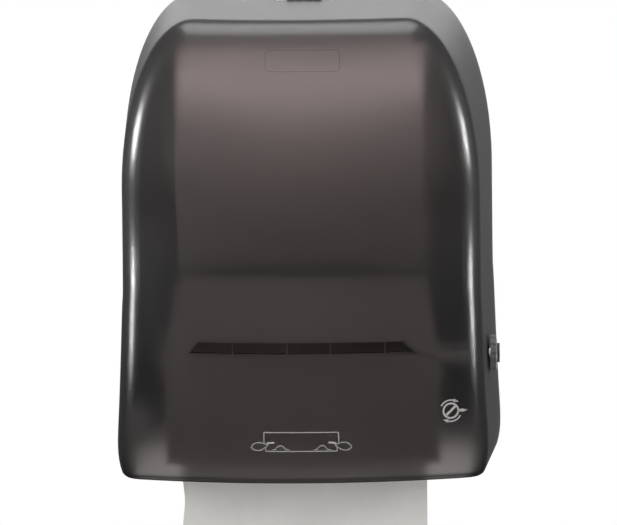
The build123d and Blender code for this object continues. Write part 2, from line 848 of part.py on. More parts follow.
def make_knob():
    """Fluted knob with a domed face and a bent finger ridge across it."""
    low = (disc(drum_axis, knob_radius, 0, far) & outer_hood).bounding_box().max.X + knob_gap
    knob_reach = low + knob_height
    top = knob_reach - ridge_rise
    edge = top - 1.4
    side = make_face(Curve() + [
        Line((low, 0), (low, knob_radius)),
        Line((low, knob_radius), (edge, knob_radius)),
        ThreePointArc((edge, knob_radius), (top - 0.5, knob_radius * 0.6), (top, 0)),
        Line((top, 0), (low, 0)),
    ])
    body = Pos(0, *drum_axis) * revolve(side, Axis.X, 360)
    for number in range(12):
        body -= disc(polar(drum_axis, knob_radius + 1.2, number * 30), 2.4, low - 1, knob_reach)
    ridge = None
    for turn in (0, 180):
        bend = CenterArc((3.2, 0), 3.8, 0, 180)
        bar = make_face(offset(bend, 1.3, side=Side.BOTH))
        piece = Pos(*drum_axis) * Rot(0, 0, turn + 60) * bar
        ridge = piece if ridge is None else ridge + piece
    body += along_x(ridge, top - 2, knob_reach)
    return body - disc(drum_axis, stem_radius, low - 1, knob_skin_x() + knob_gap + stem_seat)


# Pinch roller

def make_pinch_roller():
    half = towel_width / 2 - 2
    rubber = None
    count = 4
    step = 2 * half / count
    for number in range(count):
        low = -half + number * step + 4
        piece = ring(pinch_axis(), pinch_radius, pinch_shaft_radius + 1.5, low, low + step - 8)
        rubber = piece if rubber is None else rubber + piece
    return rubber


def make_pinch_shaft():
    half = towel_width / 2 - 2
    sleeve = disc(pinch_axis(), pinch_shaft_radius + 1.5, -half, half)
    return sleeve + disc(pinch_axis(), pinch_shaft_radius, -frame_outside - 2, frame_outside + 2)


def make_pinch_blocks():
    face = tilted_slot(2 * block_half - 2 - 2 * seat_gap, -block_half, block_half)
    piece = along_x(face, frame_inside - 0.6, frame_outside + 0.6)
    piece -= disc(pinch_axis(), pinch_shaft_radius + running, 0, far)
    return piece + other_side(piece)


def make_pinch_springs():
    """Compression springs between the sliding blocks and the ends of their slots."""
    low = block_half + seat_gap
    length = slot_rear - low - seat_gap
    middle = (frame_inside + frame_outside) / 2
    coil = Rot(0, 90, 0) * (Cylinder(1.45, length) - Cylinder(0.8, length))
    placed = Rot(0, 0, 90 - pinch_angle) * Pos(low + length / 2, 0, 0) * coil
    upright = Plane.YZ.offset(middle) * Pos(*pinch_axis(), 0) * placed
    return upright + other_side(upright)


# Roll, arms and hubs

def make_towel_roll():
    return ring(roll_axis, roll_radius, core_radius, -towel_width / 2, towel_width / 2)


def make_roll_core():
    return ring(roll_axis, core_radius, core_radius - core_wall, -towel_width / 2, towel_width / 2)


def arm_profile(rear_y):
    """Side view of a roll arm, deep at the wall and round at the hub."""
    half = arm_root_height / 2
    face = Pos(*roll_axis) * Circle(arm_tip_radius)
    face += polygon(
        (rear_y, roll_axis[1] + half), (rear_y, roll_axis[1] - half),
        (roll_axis[0] - 4, roll_axis[1] - arm_tip_radius + 0.4),
        (roll_axis[0] - 4, roll_axis[1] + arm_tip_radius - 0.4),
    )
    window = polygon(
        (rear_y - 16, roll_axis[1] + half - 16), (rear_y - 16, roll_axis[1] - half + 16),
        (roll_axis[0] + 34, roll_axis[1] - 14), (roll_axis[0] + 34, roll_axis[1] + 14),
    )
    return face - window


def arm_screw_places():
    x = arm_inside + arm_thickness + 7
    return [(x, roll_z - 30), (x, roll_z + 30)]


def make_right_arm():
    arm = along_x(arm_profile(-plate_thickness), arm_inside, arm_inside + arm_thickness)
    foot = block((arm_inside + arm_thickness, arm_inside + arm_thickness + 14),
                 (-plate_thickness - 3, -plate_thickness), (roll_z - 38, roll_z + 38))
    for x, z in arm_screw_places():
        foot -= extrude(Plane.XZ * Pos(x, z) * Circle(screw_radius), amount=trim)
    return arm + foot - disc(roll_axis, hub_stem_radius, 0, far)


hub_stem_radius = 7.0


def make_left_arm():
    rear = arm_pin[1]
    arm = along_x(arm_profile(rear), -arm_inside - arm_thickness, -arm_inside)
    arm -= disc(roll_axis, hub_stem_radius, -far, 0)
    arm += Pos(arm_pin[0], arm_pin[1], roll_z) * Cylinder(knuckle_radius - 1, arm_root_height)
    return arm - Pos(arm_pin[0], arm_pin[1], roll_z) * Cylinder(arm_pin_radius + running, arm_root_height)


def make_hub():
    """Tapered hub that the core turns on, with its stem through the arm."""
    base = core_radius - core_wall - seat_gap
    face = make_face(Polyline(
        (arm_inside - 1 - hub_length, 0), (arm_inside - 1 - hub_length, hub_tip_radius - 2),
        (arm_inside + 1 - hub_length, hub_tip_radius), (towel_width / 2 - 2, base), (arm_inside, base + 0),
        (arm_inside, hub_stem_radius), (arm_inside + arm_thickness + 1, hub_stem_radius),
        (arm_inside + arm_thickness + 1, 0), close=True,
    ))
    return Pos(0, *roll_axis) * revolve(face, Axis.X, 360)


def make_arm_pin():
    low, high = arm_knuckles()
    return Pos(arm_pin[0], arm_pin[1], (low + high) / 2) * Cylinder(arm_pin_radius, high - low + 10)


# Towel from the roll to the hanging end

def crossed_tangent(first, first_radius, second, second_radius, side):
    """Ends of the straight run that leaves one circle and meets the other on its opposite side."""
    run = (second[0] - first[0], second[1] - first[1])
    length = sqrt(run[0] ** 2 + run[1] ** 2)
    towards = atan2(run[1], run[0])
    swing = acos((first_radius + second_radius) / length) * side
    start = (first[0] + first_radius * cos(towards + swing), first[1] + first_radius * sin(towards + swing))
    end = (second[0] - second_radius * cos(towards + swing), second[1] - second_radius * sin(towards + swing))
    return start, end


def make_towel_sheet():
    """One sheet: off the roll, round the back of the drum, over the lip and down."""
    half = sheet_thickness / 2
    off = seat_gap + half
    lip = (-lip_forward, lip_z)
    leave_roll, meet_drum = crossed_tangent(roll_axis, roll_radius + off, drum_axis, drum_radius + off, -1)
    leave_drum, meet_lip = crossed_tangent(drum_axis, drum_radius + off, lip, lip_bead + off, 1)
    rear = (drum_axis[0] + drum_radius + off, drum_axis[1])
    front = (lip[0] - lip_bead - off, lip[1])
    bend = degrees(atan2(meet_lip[1] - lip[1], lip[0] - meet_lip[0]))
    over = (lip[0] - (lip_bead + off) * cos(radians(bend / 2)), lip[1] + (lip_bead + off) * sin(radians(bend / 2)))
    path = Curve() + [
        Line(leave_roll, meet_drum),
        ThreePointArc(meet_drum, rear, leave_drum),
        Line(leave_drum, meet_lip),
        ThreePointArc(meet_lip, over, front),
        Line(front, (front[0], hem_z - tail_below_hem)),
    ]
    ribbon = make_face(offset(path.wire(), half, side=Side.BOTH))
    return along_x(ribbon, -towel_width / 2, towel_width / 2)


# Fasteners

def plate_screw(x, z, seat):
    """Pan-head screw into the wall plate, its head on a seat that stands seat in front of it."""
    shank = Plane.XZ.offset(0.2) * Pos(x, z) * Circle(screw_radius)
    head = Plane.XZ.offset(plate_thickness + seat) * Pos(x, z) * Circle(screw_head_radius)
    screw = extrude(shank, amount=plate_thickness + seat - 0.2) + extrude(head, amount=screw_head_height)
    top = screw.faces().sort_by(Axis.Y)[0]
    return fillet(top.edges(), screw_head_height * 0.4)


def make_frame_screws():
    return Compound(children=[plate_screw(x, z, 3) for x, z in frame_screw_places()])


def make_arm_screws():
    return Compound(children=[plate_screw(x, z, 3) for x, z in arm_screw_places()])


def make_panel_screws():
    screws = []
    for z in panel_screw_heights():
        at = (-frame_front + 24 - trim / 2, z)
        screw = disc(at, screw_radius, frame_outside, panel_half_width)
        screw += disc(at, screw_head_radius, panel_half_width, panel_half_width + screw_head_height)
        screws += [screw, other_side(screw)]
    return Compound(children=screws)


outer_hood = hood(0)
upper_half, lower_half = drum_halves()
frame = make_side_frame()
bearing = make_bearing()
cam = make_cam()
hub = make_hub()

nodes = {
    "cover": make_cover(),
    "latch_slide": make_latch_slide(),
    "latch_strike": make_latch_strike(),
    "back_plate": make_back_plate(),
    "hinge_pins": make_hinge_pins(),
    "right_side_frame": frame,
    "left_side_frame": other_side(frame),
    "right_bearing": bearing,
    "left_bearing": other_side(bearing),
    "right_cam": cam,
    "left_cam": other_side(cam),
    "front_panel": make_front_panel(),
    "paper_chute": make_paper_chute(),
    "drum_knife_half": upper_half,
    "drum_plain_half": lower_half,
    "drum_grip_strips": turned(grip_strips(0), knife_angle),
    "drum_shaft": make_drum_shaft(),
    "shaft_coupling": make_shaft_coupling(),
    "knife_carrier": make_knife_carrier(),
    "knife_blade": make_knife_blade(),
    "cam_rollers": make_cam_rollers(),
    "crank": make_crank(),
    "crank_pin": make_crank_pin(),
    "drive_spring": make_drive_spring(),
    "spring_anchor": make_spring_anchor(),
    "feed_knob": make_knob(),
    "knob_stem": make_knob_stem(),
    "knob_clip": make_knob_clip(),
    "pinch_roller": make_pinch_roller(),
    "pinch_shaft": make_pinch_shaft(),
    "pinch_blocks": make_pinch_blocks(),
    "pinch_springs": make_pinch_springs(),
    "towel_roll": make_towel_roll(),
    "roll_core": make_roll_core(),
    "right_roll_arm": make_right_arm(),
    "left_roll_arm": make_left_arm(),
    "right_hub": hub,
    "left_hub": other_side(hub),
    "left_arm_pin": make_arm_pin(),
    "towel_sheet": make_towel_sheet(),
    "frame_screws": make_frame_screws(),
    "arm_screws": make_arm_screws(),
    "panel_screws": make_panel_screws(),
}

os.makedirs("parts", exist_ok=True)
for name, shape in nodes.items():
    export_step(shape, os.path.join("parts", name + ".step"))
print(len(nodes), "nodes written")
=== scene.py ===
"""Visual model of a wall-mounted roll towel dispenser with a smoked hood, dressed around its CAD frame."""
import json
import math

import bmesh
import bpy
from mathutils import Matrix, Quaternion, Vector
from mathutils.bvhtree import BVHTree


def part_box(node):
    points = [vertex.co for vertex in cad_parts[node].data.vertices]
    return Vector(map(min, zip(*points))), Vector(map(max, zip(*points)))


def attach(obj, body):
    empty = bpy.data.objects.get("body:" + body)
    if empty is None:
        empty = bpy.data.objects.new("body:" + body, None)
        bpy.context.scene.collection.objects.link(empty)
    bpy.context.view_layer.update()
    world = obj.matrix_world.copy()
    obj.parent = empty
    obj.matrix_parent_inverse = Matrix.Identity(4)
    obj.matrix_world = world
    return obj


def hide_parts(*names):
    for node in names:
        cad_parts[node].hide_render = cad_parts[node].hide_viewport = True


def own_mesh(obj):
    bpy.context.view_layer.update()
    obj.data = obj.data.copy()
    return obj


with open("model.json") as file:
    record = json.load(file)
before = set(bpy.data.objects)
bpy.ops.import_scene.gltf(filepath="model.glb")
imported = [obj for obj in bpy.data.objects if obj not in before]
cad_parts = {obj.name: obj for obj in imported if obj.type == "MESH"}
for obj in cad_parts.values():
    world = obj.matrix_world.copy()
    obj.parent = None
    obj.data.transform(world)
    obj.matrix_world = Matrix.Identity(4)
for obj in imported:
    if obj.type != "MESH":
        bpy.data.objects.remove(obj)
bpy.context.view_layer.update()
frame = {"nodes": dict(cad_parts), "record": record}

MM = 0.001
FULL_TURN = 2 * math.pi
SIDEWAYS = Vector((1, 0, 0))
WHITE = (1.0, 1.0, 1.0, 1.0)


# Materials

class Shader:
    """A node material that is built up in code around one Principled BSDF."""

    flat_pointiness = 0.52
    edge_pointiness = 0.62
    wear_colour = (0.8, 0.8, 0.8, 1.0)

    def __init__(self, name, colour, roughness=0.5, metallic=0.0):
        self.material = bpy.data.materials.new(name)
        self.material.use_nodes = True
        self.tree = self.material.node_tree
        self.surface = self.tree.nodes["Principled BSDF"]
        self.colour = colour
        self.set("Base Color", (*colour, 1.0))
        self.set("Roughness", roughness)
        self.set("Metallic", metallic)
        self.material.diffuse_color = (*colour, 1.0)
        self.relief = None

    def set(self, socket, value):
        self.surface.inputs[socket].default_value = value

    def node(self, kind, **values):
        """A new node with its sockets, or else its settings, set by name."""
        made = self.tree.nodes.new(kind)
        for name, value in values.items():
            if name in made.inputs:
                made.inputs[name].default_value = value
            else:
                setattr(made, name, value)
        return made

    def link(self, source, target):
        self.tree.links.new(source, target)

    def maths(self, operation, *terms):
        """The result of a math node, whose terms are sockets or numbers."""
        made = self.node("ShaderNodeMath", operation=operation)
        for socket, term in zip(made.inputs, terms):
            if isinstance(term, (int, float)):
                socket.default_value = term
            else:
                self.link(term, socket)
        return made.outputs["Value"]

    def scaled(self, value, low, high, start=0.0, end=1.0):
        """A value between start and end, scaled to lie between low and high."""
        ramp = self.node("ShaderNodeMapRange")
        for label, number in (("From Min", start), ("From Max", end), ("To Min", low), ("To Max", high)):
            ramp.inputs[label].default_value = number
        self.link(value, ramp.inputs["Value"])
        return ramp.outputs["Result"]

    def place(self, stretch=(1.0, 1.0, 1.0)):
        """Object coordinates in metres, stretched along the axes."""
        coordinates = self.node("ShaderNodeTexCoord")
        mapping = self.node("ShaderNodeMapping", Scale=stretch)
        self.link(coordinates.outputs["Object"], mapping.inputs["Vector"])
        return mapping.outputs["Vector"]

    def split_place(self):
        """Object coordinates in metres, one output for each axis."""
        split = self.node("ShaderNodeSeparateXYZ")
        self.link(self.place(), split.inputs["Vector"])
        return split.outputs

    def noise(self, size, detail=3.0, stretch=(1.0, 1.0, 1.0)):
        """Noise whose features are about size metres across."""
        texture = self.node("ShaderNodeTexNoise", Scale=1.0 / size, Detail=detail, Roughness=0.55)
        self.link(self.place(stretch), texture.inputs["Vector"])
        return texture.outputs["Fac"]

    def scale_base_colour(self, fac, dark, light):
        """Scale the base colour between two factors: its own variation in most finishes, painted shade on
        the wall plate.
        """
        mix = self.node("ShaderNodeVectorMath", operation="SCALE")
        mix.inputs[0].default_value = self.colour
        self.link(self.scaled(fac, dark, light), mix.inputs["Scale"])
        self.link(mix.outputs["Vector"], self.surface.inputs["Base Color"])

    def vary_roughness(self, fac, low, high):
        self.link(self.scaled(fac, low, high), self.surface.inputs["Roughness"])

    def bump(self, fac, depth, strength):
        """Add relief of the given depth in metres, on top of earlier relief."""
        bump = self.node("ShaderNodeBump", Strength=strength, Distance=depth)
        self.link(fac, bump.inputs["Height"])
        if self.relief is not None:
            self.link(self.relief, bump.inputs["Normal"])
        self.relief = bump.outputs["Normal"]
        self.link(self.relief, self.surface.inputs["Normal"])

    def worn_edges(self, lighter):
        """Lighten convex edges a little, as handling does. It comes after the base colour is scaled."""
        geometry = self.node("ShaderNodeNewGeometry")
        wear = self.scaled(geometry.outputs["Pointiness"], 0.0, lighter,
                           start=self.flat_pointiness, end=self.edge_pointiness)
        mix = self.node("ShaderNodeMix", data_type="RGBA", B=self.wear_colour)
        base = self.surface.inputs["Base Color"]
        self.link(base.links[0].from_socket, mix.inputs["A"])
        self.link(wear, mix.inputs["Factor"])
        self.link(mix.outputs["Result"], base)

    def moulded_skin(self, roughness):
        """Fine spark-eroded grain, uneven gloss and lighter edges."""
        self.bump(self.noise(size=0.0007, detail=2.0), depth=0.00005, strength=0.6)
        self.vary_roughness(self.noise(size=0.012), low=roughness - 0.07, high=roughness + 0.09)
        self.worn_edges(lighter=0.12)


def smoked_plastic():
    """Hazy smoked plastic that blurs what is behind it.

    It darkens where the sight line runs along the wall, and a thin coat carries its gloss.
    """
    facing_tint = (0.22, 0.2, 0.2)
    grazing_tint = (0.012, 0.011, 0.011)
    tint_start = 0.12
    tint_end = 0.6
    shader = Shader("smoked_plastic", facing_tint, roughness=0.62)
    shader.set("Transmission Weight", 1.0)
    shader.set("IOR", 1.1)
    shader.set("Coat Roughness", 0.25)
    shader.set("Coat IOR", 1.35)
    grazing = shader.node("ShaderNodeLayerWeight", Blend=0.5).outputs["Facing"]
    ramp = shader.node("ShaderNodeValToRGB")
    stops = ((tint_start, facing_tint), (tint_end, grazing_tint))
    for element, (position, tint) in zip(ramp.color_ramp.elements, stops):
        element.position = position
        element.color = (*tint, 1.0)
    shader.link(grazing, ramp.inputs["Fac"])
    shader.link(ramp.outputs["Color"], shader.surface.inputs["Base Color"])
    gloss = shader.scaled(grazing, low=0.18, high=0.02, start=0.3, end=0.8)
    shader.link(gloss, shader.surface.inputs["Coat Weight"])
    shader.bump(shader.noise(size=0.09, detail=1.0), depth=0.0012, strength=0.12)
    return shader.material


def moulded(name, colour, roughness):
    """Injection-moulded plastic with slight colour clouds."""
    shader = Shader(name, colour, roughness)
    shader.scale_base_colour(shader.noise(size=0.03, detail=4.0), dark=0.86, light=1.12)
    shader.moulded_skin(roughness)
    return shader.material


def plate_plastic(name, colour, painted_shade_below, unshaded_above, share):
    """The wall plate's plastic, with painted shade on its front: darker low down round the mechanism than
    behind the roll.
    """
    roughness = 0.5
    rear_start = -0.5 * MM
    shader = Shader(name, colour, roughness)
    place = shader.split_place()
    # Painted shade: the front darkens to a share of its colour low down round the mechanism and fades to
    # full colour higher up; the back face keeps its full colour.
    height = shader.scaled(place["Z"], low=share, high=1.0, start=painted_shade_below, end=unshaded_above)
    rear = shader.maths("GREATER_THAN", place["Y"], rear_start)
    shader.scale_base_colour(shader.maths("MAXIMUM", height, rear), dark=0.0, light=1.0)
    shader.moulded_skin(roughness)
    return shader.material


def acetal(name, colour):
    """Slightly see-through, slippery plastic."""
    shader = Shader(name, colour, roughness=0.34)
    shader.set("Subsurface Weight", 0.08)
    shader.set("Subsurface Radius", (0.002, 0.002, 0.002))
    shader.scale_base_colour(shader.noise(size=0.02), dark=0.92, light=1.05)
    shader.bump(shader.noise(size=0.0012), depth=0.00003, strength=0.4)
    return shader.material


def steel(name, colour, roughness, stretch, brush=0.0006):
    """Metal whose fine marks run along one axis."""
    shader = Shader(name, colour, roughness, metallic=1.0)
    marks = shader.noise(size=brush, stretch=stretch)
    shader.scale_base_colour(marks, dark=0.82, light=1.1)
    shader.vary_roughness(marks, low=roughness - 0.08, high=roughness + 0.12)
    shader.bump(marks, depth=0.00004, strength=0.5)
    return shader.material


def rubber(name, colour):
    shader = Shader(name, colour, roughness=0.78)
    shader.scale_base_colour(shader.noise(size=0.006, detail=5.0), dark=0.75, light=1.25)
    shader.bump(shader.noise(size=0.0005), depth=0.00008, strength=0.7)
    return shader.material


def crepe_paper(name, colour):
    """Creped towel paper: fine ridges along its length, faint fibres and a soft sheen."""
    ridges = (1.0, 0.12, 0.12)
    shader = Shader(name, colour, roughness=0.92)
    shader.set("Sheen Weight", 0.25)
    shader.set("Sheen Roughness", 0.6)
    shader.set("Specular IOR Level", 0.25)
    shader.scale_base_colour(shader.noise(size=0.012, detail=5.0, stretch=ridges), dark=0.955, light=1.03)
    shader.bump(shader.noise(size=0.0011, detail=2.0, stretch=ridges), depth=0.00022, strength=0.8)
    shader.bump(shader.noise(size=0.0003, detail=4.0), depth=0.00006, strength=0.6)
    return shader.material


def wound_paper(name, colour):
    """The roll: crepe along its face, and fine rings where the layers show at its ends."""
    ridges = (1.0, 0.2, 0.2)
    shader = Shader(name, colour, roughness=0.94)
    shader.set("Sheen Weight", 0.2)
    shader.set("Specular IOR Level", 0.2)
    low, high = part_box("towel_roll")
    centre = (low + high) / 2
    place = shader.split_place()
    squares = [
        shader.maths("POWER", shader.maths("SUBTRACT", place[axis], middle), 2.0)
        for axis, middle in (("Y", centre.y), ("Z", centre.z))
    ]
    radius = shader.maths("SQRT", shader.maths("ADD", *squares))
    rings = shader.node("ShaderNodeTexNoise", noise_dimensions="1D", Scale=2600.0, Detail=3.0)
    shader.link(radius, rings.inputs["W"])
    shader.scale_base_colour(rings.outputs["Fac"], dark=0.86, light=1.04)
    shader.bump(rings.outputs["Fac"], depth=0.00025, strength=0.8)
    shader.bump(shader.noise(size=0.0012, detail=2.0, stretch=ridges), depth=0.0002, strength=0.6)
    return shader.material


def board(name, colour):
    """Grey-brown board of the roll's core."""
    shader = Shader(name, colour, roughness=0.85)
    shader.scale_base_colour(shader.noise(size=0.004, detail=6.0, stretch=(0.3, 1.0, 1.0)), dark=0.8, light=1.12)
    shader.bump(shader.noise(size=0.0008), depth=0.0001, strength=0.6)
    return shader.material


def ink(name, colour):
    """Printed ink of the signs on the hood."""
    shader = Shader(name, colour, roughness=0.45)
    shader.scale_base_colour(shader.noise(size=0.004), dark=0.92, light=1.08)
    return shader.material


finishes = {
    "smoked_cover": smoked_plastic(),
    "latch_plastic": moulded("latch_plastic", (0.035, 0.034, 0.034), 0.32),
    "zinc_steel": steel("zinc_steel", (0.62, 0.62, 0.6), 0.34, (1.0, 1.0, 0.15)),
    "shaft_steel": steel("shaft_steel", (0.6, 0.6, 0.61), 0.22, (1.0, 0.2, 0.2), brush=0.0003),
    "spring_steel": steel("spring_steel", (0.42, 0.42, 0.43), 0.3, (1.0, 1.0, 1.0)),
    "blade_steel": steel("blade_steel", (0.68, 0.68, 0.69), 0.2, (0.1, 1.0, 1.0), brush=0.0004),
    # Wall plate with painted shade on the lower part of its front.
    "plate_plastic": plate_plastic("plate_plastic", (0.26, 0.25, 0.25),
                                   painted_shade_below=-0.04, unshaded_above=-0.02, share=0.12),
    "frame_plastic": moulded("frame_plastic", (0.028, 0.027, 0.026), 0.48),
    "panel_plastic": moulded("panel_plastic", (0.42, 0.398, 0.392), 0.42),
    "bearing_plastic": acetal("bearing_plastic", (0.74, 0.73, 0.69)),
    "drum_plastic": moulded("drum_plastic", (0.32, 0.31, 0.3), 0.45),
    "grip_rubber": rubber("grip_rubber", (0.045, 0.044, 0.043)),
    "knob_plastic": moulded("knob_plastic", (0.04, 0.039, 0.039), 0.38),
    "arm_plastic": moulded("arm_plastic", (0.4, 0.39, 0.38), 0.46),
    "hub_plastic": acetal("hub_plastic", (0.5, 0.49, 0.47)),
    "roll_paper": wound_paper("roll_paper", (0.84, 0.825, 0.8)),
    "core_board": board("core_board", (0.46, 0.36, 0.25)),
    "sheet_paper": crepe_paper("sheet_paper", (0.76, 0.748, 0.725)),
}
inks = {
    "decal_ink": ink("decal_ink", (0.42, 0.41, 0.4)),
    "faint_line": ink("faint_line", (0.15, 0.139, 0.139)),
}

for entry in frame["record"]["subparts"]:
    for material_slot in frame["nodes"][entry["node"]].material_slots:
        material_slot.material = finishes[entry["material_slot"]]


# Geometry helpers

def mesh_piece(name, build, slot, body, smooth_angle=None, finish=None):
    """A new mesh piece that rides on a body and has a slot's finish, or another finish than its slot's."""
    mesh = bpy.data.meshes.new(name)
    shape = bmesh.new()
    build(shape)
    bmesh.ops.recalc_face_normals(shape, faces=shape.faces)
    shape.to_mesh(mesh)
    shape.free()
    piece = bpy.data.objects.new(name, mesh)
    bpy.context.collection.objects.link(piece)
    mesh.materials.append(finish or finishes[slot])
    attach(piece, body)
    if smooth_angle:
        mesh.shade_smooth()
        mesh.set_sharp_from_angle(angle=math.radians(smooth_angle))
    return piece


def box_middle(node):
    """The centre and the half sizes of a CAD piece's box."""
    low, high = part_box(node)
    return (low + high) / 2, (high - low) / 2


def bridge(shape, first, second):
    """Quads between two closed loops of vertices."""
    count = len(first)
    for index in range(count):
        following = (index + 1) % count
        shape.faces.new((first[index], first[following], second[following], second[index]))


def tube(shape, points, radius, sides=8):
    """A round wire through points, closed at both ends."""
    rings = []
    across = points[1] - points[0]
    across = across.normalized().orthogonal().normalized()
    for number, point in enumerate(points):
        ahead = points[min(number + 1, len(points) - 1)]
        behind = points[max(number - 1, 0)]
        run = (ahead - behind).normalized()
        across = (across - run * across.dot(run)).normalized()
        third = run.cross(across)
        rings.append([
            shape.verts.new(point + (across * math.cos(turn) + third * math.sin(turn)) * radius)
            for turn in (FULL_TURN * side / sides for side in range(sides))
        ])
    for first, second in zip(rings, rings[1:]):
        bridge(shape, first, second)
    shape.faces.new(rings[0])
    shape.faces.new(tuple(reversed(rings[-1])))


def helix(start, end, radius, turns, steps):
    """Points of a coil between two points of its axis, with that many steps in a turn."""
    axis = end - start
    first = SIDEWAYS
    second = axis.normalized().cross(first)
    count = round(turns * steps)
    return [
        start + axis * (n / count)
        + (first * math.cos(FULL_TURN * n / steps) + second * math.sin(FULL_TURN * n / steps)) * radius
        for n in range(count + 1)
    ]


# Drive spring, with a loop at each end

spring_centre, spring_half = box_middle("drive_spring")
spring_outer = 5.5 * MM
spring_wire = 1.0 * MM
drawn_share = 0.96
drawn_wire = spring_wire * drawn_share
coil_radius = spring_outer - spring_wire
spring_turns = 40
diagonal = Vector((0, 1, 1)).normalized()
spring_run = diagonal * (spring_half.z - spring_outer) * math.sqrt(2)


def end_loop(middle, outward):
    """An open loop in the plane of the lever, from the coil's rim round its pin."""
    sweep = 340
    steps = 24
    side = SIDEWAYS.cross(outward)
    return [
        middle + (outward * math.cos(angle) + side * math.sin(angle)) * coil_radius
        for angle in (math.radians(sweep / 2 - sweep * n / steps) for n in range(steps + 1))
    ]


def build_drive_spring(shape):
    start = spring_centre - spring_run
    end = spring_centre + spring_run
    inset = diagonal * coil_radius
    tube(shape, helix(start + inset, end - inset, coil_radius, spring_turns, steps=18), drawn_wire)
    tube(shape, end_loop(start, -diagonal), drawn_wire)
    tube(shape, end_loop(end, diagonal), drawn_wire)


wound_spring = mesh_piece("wound_spring", build_drive_spring, "spring_steel", "module", smooth_angle=60)
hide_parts("drive_spring")


# Pinch springs, built at one length; the real ones shorten as the pinch roller lifts

pinch_centre, pinch_half = box_middle("pinch_springs")
pinch_outer = 1.45 * MM
pinch_wire = 0.32 * MM
pinch_length = 9.4 * MM
pinch_turns = 7


def build_pinch_springs(shape):
    reach = diagonal * (pinch_length / 2 - pinch_wire)
    for side in (-1, 1):
        middle = Vector((side * (pinch_half.x - pinch_outer), pinch_centre.y, pinch_centre.z))
        coil = helix(middle - reach, middle + reach, pinch_outer - pinch_wire, pinch_turns, steps=14)
        tube(shape, coil, pinch_wire, sides=6)


coil_springs = mesh_piece("coil_springs", build_pinch_springs, "spring_steel", "module", smooth_angle=60)
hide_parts("pinch_springs")
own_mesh(coil_springs)


# Towel roll

roll_centre, roll_half = box_middle("towel_roll")
roll_radius = roll_half.z
core_radius = box_middle("roll_core")[1].z


# Steps of the wound layers at the roll's ends: depth in metres, count in a band of layers, and phase
layer_band = 4.5 * MM
layer_sink = 0.0005
layer_steps = ((0.00022, 1.0, 0.0), (0.00016, 2.7, 1.3))


def roll_end_offset(radius):
    """How far the roll's end lies in from its CAD face at a radius."""
    band = (radius - core_radius) / layer_band
    steps = (depth * math.sin(count * band + phase) for depth, count, phase in layer_steps)
    return min(0.0, sum(steps, -layer_sink))


def roll_profile():
    """One closed line (x, radius): an end, the face, the other end."""
    rings = 46
    face_steps = 24
    edge = 0.0012
    edge_out = 0.0004
    edge_share = 0.4
    face_dip = 0.00012
    face_waves = 17
    half = roll_half.x
    end = []
    for number in range(rings):
        radius = core_radius + (roll_radius - core_radius) * number / rings
        end.append((half + roll_end_offset(radius), radius))
    end.append((half - edge_out, roll_radius - edge * edge_share))
    end.append((half - edge, roll_radius))
    face = []
    for step in range(1, face_steps):
        along = 1.0 - 2.0 * step / face_steps
        face.append(((half - edge) * along, roll_radius - face_dip * (1 + math.sin(face_waves * along))))
    return end + face + [(-x, radius) for x, radius in reversed(end)]


def build_roll(shape):
    segments = 160
    profile = roll_profile()
    loops = []
    for number in range(segments):
        angle = FULL_TURN * number / segments
        loops.append([
            shape.verts.new((x, roll_centre.y + r * math.sin(angle), roll_centre.z + r * math.cos(angle)))
            for x, r in profile
        ])
    for first, second in zip(loops, loops[1:] + loops[:1]):
        bridge(shape, first, second)


paper_roll = mesh_piece("paper_roll", build_roll, "roll_paper", "roll", smooth_angle=40)
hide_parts("towel_roll")


# Towel sheet, from the roll round the back of the drum and out over the lip

drum_centre = box_middle("drum_shaft")[0]
drum_radius = 48.5 * MM
sheet_edge_gap = 0.3 * MM
sheet_half_width = roll_half.x - sheet_edge_gap
sheet_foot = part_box("towel_sheet")[0].z
sheet_step = 2.0 * MM
sheet_thickness = 0.3 * MM
lip_radius = 3.0 * MM
lip_centre = Vector((0, -157.0 * MM, drum_centre.z - 70.0 * MM))
sheet_gap = 0.5 * MM
cut_pitch = 6.0 * MM
cut_depth = 2.6 * MM


def on_circle(centre, radius, angle):
    return (centre[0] + radius * math.cos(angle), centre[1] + radius * math.sin(angle))


def crossed_tangent(first, first_radius, second, second_radius, side):
    """Ends of the straight run between two circles that it touches on opposite sides."""
    run = (second[0] - first[0], second[1] - first[1])
    length = math.hypot(*run)
    angle = math.atan2(run[1], run[0]) + side * math.acos((first_radius + second_radius) / length)
    return on_circle(first, first_radius, angle), on_circle(second, -second_radius, angle)


def arc_points(centre, radius, start, end, steps, clockwise):
    """Points between the ends of an arc, its ends left out."""
    first = math.atan2(start[1] - centre[1], start[0] - centre[0])
    last = math.atan2(end[1] - centre[1], end[0] - centre[0])
    if clockwise and last > first:
        last -= FULL_TURN
    if not clockwise and last < first:
        last += FULL_TURN
    return [on_circle(centre, radius, first + (last - first) * step / steps) for step in range(1, steps)]


def sheet_path():
    """The sheet's line in (y, z), as the ends of its straight runs and the points of its bends."""
    roll = (roll_centre.y, roll_centre.z)
    drum = (drum_centre.y, drum_centre.z)
    lip = (lip_centre.y, lip_centre.z)
    around_roll = roll_radius + sheet_gap
    around_drum = drum_radius + sheet_gap
    around_lip = lip_radius + sheet_gap
    leave_roll, meet_drum = crossed_tangent(roll, around_roll, drum, around_drum, side=-1)
    leave_drum, meet_lip = crossed_tangent(drum, around_drum, lip, around_lip, side=1)
    front = (lip[0] - around_lip, lip[1])
    return [
        leave_roll, meet_drum,
        *arc_points(drum, around_drum, meet_drum, leave_drum, steps=40, clockwise=True),
        leave_drum, meet_lip,
        *arc_points(lip, around_lip, meet_lip, front, steps=6, clockwise=False),
        front, (front[0], sheet_foot + 1.0 * MM),
    ]


